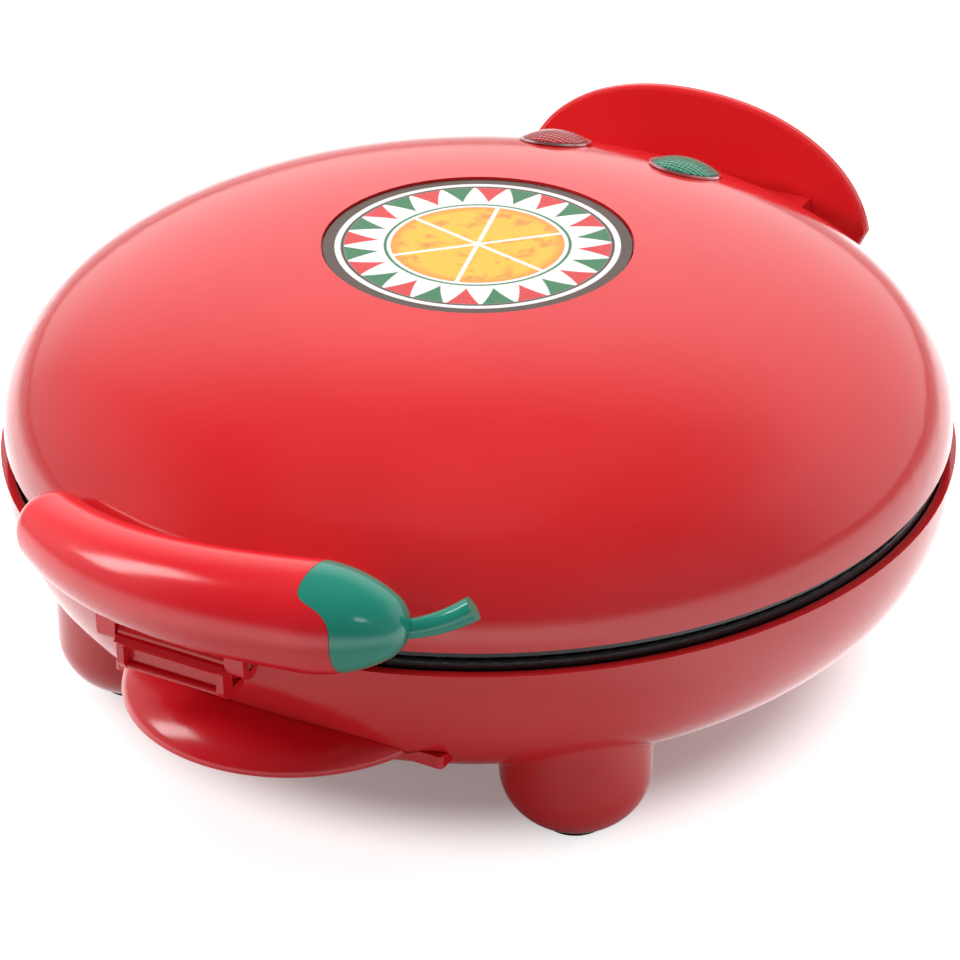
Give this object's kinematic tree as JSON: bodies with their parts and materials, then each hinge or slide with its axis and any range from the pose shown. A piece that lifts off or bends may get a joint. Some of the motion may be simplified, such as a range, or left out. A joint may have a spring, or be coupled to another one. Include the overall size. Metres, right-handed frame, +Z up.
{
  "type": "quesadilla maker",
  "caption": "Round countertop quesadilla maker with a domed hinged lid, a chili-shaped front handle with a latch, a crescent grip on the bowl, cooking plates with six pockets and a rear stand",
  "frame": {"origin": "on the floor plane, under the middle of the object's whole width and length", "axes": "+Y from the handle at the front to the hinge at the back, +Z up, +X to the right seen from the front"},
  "size_m": [0.309, 0.3452, 0.1407],
  "materials": {
    "red_shell": "glossy moulded plastic",
    "red_handle": "glossy moulded plastic",
    "red_grip": "glossy moulded plastic",
    "green_handle": "glossy moulded plastic",
    "black_trim": "satin moulded phenolic",
    "nonstick_plate": "die-cast aluminium with a dark non-stick coating",
    "element_sheath": "oxidised steel sheath",
    "reflector_steel": "plain aluminised sheet",
    "screw_steel": "zinc-plated steel",
    "badge": null,
    "red_lens": "clear red moulded lens",
    "green_lens": "clear green moulded lens",
    "lens_rim": "glossy moulded ring",
    "lamp_glass": "small neon lamp",
    "pad_rubber": "moulded rubber"
  },
  "bodies": {
    "base": {"base_shell": "red_shell", "base_bezel": "black_trim", "lower_plate": "nonstick_plate", "lower_element": "element_sheath", "lower_reflector": "reflector_steel", "base_screws": "screw_steel", "foot_pads": "pad_rubber", "hinge_pins": "screw_steel", "thermostat": "reflector_steel", "thermal_fuse": "reflector_steel", "terminal_block": "black_trim", "cord_gland": "black_trim", "front_grip": "red_grip", "grip_screws": "screw_steel"},
    "lid": {"lid_shell": "red_shell", "lid_bezel": "black_trim", "lid_screws": "screw_steel", "badge_disc": "badge", "red_lens": "red_lens", "green_lens": "green_lens", "lens_rims": "lens_rim", "indicator_lamps": "lamp_glass", "lamp_holder": "black_trim", "chili_handle": "red_handle", "chili_cap": "green_handle", "handle_screws": "screw_steel", "latch_pin": "screw_steel", "upper_plate": "nonstick_plate", "upper_element": "element_sheath", "upper_reflector": "reflector_steel", "upper_plate_screws": "screw_steel"},
    "latch": {"latch": "red_handle"}
  },
  "joints": [
    {"name": "lid_hinge", "type": "hinge", "parent": "base", "child": "lid", "pos_m": [0, 0.16613, 0.0803], "axis": [-1, 0, 0], "range_deg": [0, 100]},
    {"name": "latch_hinge", "type": "hinge", "parent": "lid", "child": "latch", "pos_m": [-0.0115, -0.15287, 0.077], "axis": [-1, 0, 0], "range_deg": [0, 60]}
  ]
}
